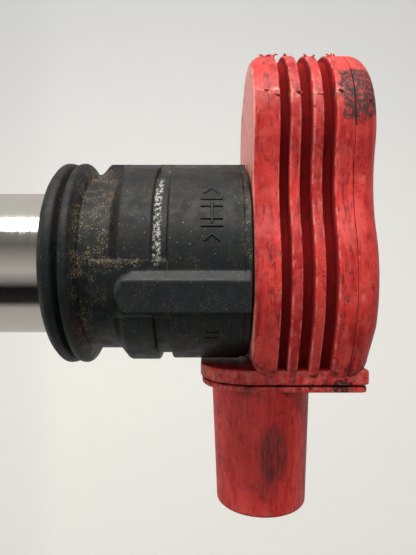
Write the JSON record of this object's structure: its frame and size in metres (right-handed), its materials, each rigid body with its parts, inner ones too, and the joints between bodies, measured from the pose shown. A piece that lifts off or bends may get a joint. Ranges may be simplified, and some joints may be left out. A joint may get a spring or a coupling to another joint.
{
  "type": "pencil ignition coil",
  "caption": "Pencil-type ignition coil: ribbed red plastic head with a side connector, black silicone well seal, slit steel yoke stem and a black boot over a sprung plug contact.",
  "frame": {"origin": "on the stem's axis at the root of the head, 0.5 mm above the head's underside", "axes": "+Z along the stem towards the head, +X towards the connector's mouth, +Y to the left seen from above with the connector forwards"},
  "size_m": [0.0745, 0.0349, 0.1733],
  "materials": {
    "red_plastic": "moulded red glass-filled plastic, satin, scuffed",
    "black_silicone": "moulded black silicone, dusty",
    "yoke_steel": "rolled electrical steel, bright along the grain",
    "tinned_brass": "tin-plated brass",
    "copper_wire": "enamelled copper",
    "black_plastic": "moulded black plastic",
    "epoxy": "cast epoxy",
    "aluminium": "bare sheet",
    "magnet": "sintered magnet",
    "ceramic": "unglazed ceramic",
    "spring_steel": "drawn spring wire"
  },
  "bodies": {
    "coil": {"head_housing": "red_plastic", "top_cover": "red_plastic", "connector_housing": "red_plastic", "stem_seal": "black_silicone", "igniter_heat_spreader": "aluminium", "igniter_module": "black_plastic", "potting_layer": "epoxy", "battery_busbar": "copper_wire", "ground_busbar": "copper_wire", "noise_capacitor": "black_plastic", "turn_on_diode": "black_plastic", "terminal_pin_1": "tinned_brass", "terminal_pin_2": "tinned_brass", "terminal_pin_3": "tinned_brass", "terminal_pin_4": "tinned_brass", "yoke_sleeve_outer": "yoke_steel", "yoke_sleeve_inner": "yoke_steel", "coil_case": "red_plastic", "primary_winding": "copper_wire", "primary_bobbin": "black_plastic", "secondary_winding": "copper_wire", "secondary_bobbin": "black_plastic", "core_stack": "yoke_steel", "core_magnet_upper": "magnet", "core_cushion_upper": "black_silicone", "core_magnet_lower": "magnet", "core_cushion_lower": "black_silicone", "hv_tower": "black_plastic", "hv_terminal_cup": "tinned_brass", "resistor_cap_upper": "tinned_brass", "suppressor_resistor": "ceramic", "resistor_cap_lower": "tinned_brass", "contact_spring": "spring_steel", "plug_boot": "black_silicone"},
    "contact": {"contact_cap": "tinned_brass"}
  },
  "joints": [
    {"name": "contact_slide", "type": "slide", "parent": "coil", "child": "contact", "axis": [0, 0, 1], "range_m": [0, 0.005], "stiffness_N_per_m": 400, "deforming": ["contact_spring"]}
  ]
}
